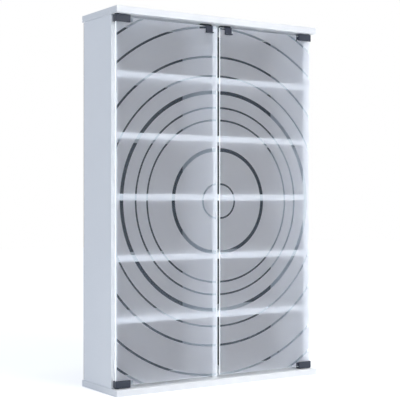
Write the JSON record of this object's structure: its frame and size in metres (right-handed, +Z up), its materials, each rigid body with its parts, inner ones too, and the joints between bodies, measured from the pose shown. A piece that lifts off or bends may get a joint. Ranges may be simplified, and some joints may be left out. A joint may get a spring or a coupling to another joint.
{
  "type": "glass door disc cabinet",
  "caption": "Shallow white wall cabinet for music and film discs, with shelves in two rows behind a pair of satin glass doors with clear rings, on corner pivot clamps.",
  "frame": {"origin": "middle of the footprint, on the surface the cabinet stands on", "axes": "+X across the front to the right as seen from the front, +Y from the front to the back, +Z up"},
  "size_m": [0.6, 0.18, 0.92],
  "materials": {
    "white_board": "particle board faced with white melamine, edges banded to match",
    "fibreboard": "thin hard fibreboard, lacquered dark on its inner face",
    "zinc_plated_steel": "bright zinc plating",
    "zinc_casting": "bare zinc die casting",
    "beech": "turned beech, unfinished",
    "black_nylon": "moulded oil-filled nylon",
    "dark_plastic": "moulded ABS",
    "ferrite": "pressed ferrite",
    "clear_glass": "toughened float glass with ground edges",
    "satin_glass": "acid-etched satin finish, matt and translucent",
    "black_plastic": "moulded glass-filled nylon, fine texture",
    "black_rubber": "moulded rubber"
  },
  "bodies": {
    "cabinet": {"top_panel": "white_board", "bottom_panel": "white_board", "left_side": "white_board", "right_side": "white_board", "centre_divider": "white_board", "left_back": "fibreboard", "right_back": "fibreboard", "shelf_left_1": "white_board", "shelf_left_2": "white_board", "shelf_left_3": "white_board", "shelf_left_4": "white_board", "shelf_left_5": "white_board", "shelf_right_1": "white_board", "shelf_right_2": "white_board", "shelf_right_3": "white_board", "shelf_right_4": "white_board", "shelf_right_5": "white_board", "shelf_pegs": "zinc_plated_steel", "cam_locks": "zinc_casting", "cam_bolts": "zinc_plated_steel", "dowels": "beech", "back_nails": "zinc_plated_steel", "pivot_bushes": "black_nylon", "catch_left": "dark_plastic", "catch_right": "dark_plastic", "catch_magnets": "ferrite", "pole_plates": "zinc_plated_steel", "catch_screws": "zinc_plated_steel", "wall_brackets": "zinc_plated_steel", "bracket_screws": "zinc_plated_steel"},
    "left_door": {"door_glass_left": "clear_glass", "satin_left": "satin_glass", "clamp_top_left": "black_plastic", "clamp_bottom_left": "black_plastic", "clamp_pads_left": "black_rubber", "clamp_screws_left": "zinc_plated_steel", "pivot_pins_left": "zinc_plated_steel", "clip_left": "black_plastic", "strike_left": "zinc_plated_steel", "clip_screw_left": "zinc_plated_steel"},
    "right_door": {"door_glass_right": "clear_glass", "satin_right": "satin_glass", "clamp_top_right": "black_plastic", "clamp_bottom_right": "black_plastic", "clamp_pads_right": "black_rubber", "clamp_screws_right": "zinc_plated_steel", "pivot_pins_right": "zinc_plated_steel", "clip_right": "black_plastic", "strike_right": "zinc_plated_steel", "clip_screw_right": "zinc_plated_steel"}
  },
  "joints": [
    {"name": "left_door_hinge", "type": "hinge", "parent": "cabinet", "child": "left_door", "pos_m": [-0.2874, -0.06785, 0.46], "axis": [0, 0, -1], "range_deg": [0, 180]},
    {"name": "right_door_hinge", "type": "hinge", "parent": "cabinet", "child": "right_door", "pos_m": [0.2874, -0.06785, 0.46], "axis": [0, 0, 1], "range_deg": [0, 180]}
  ]
}
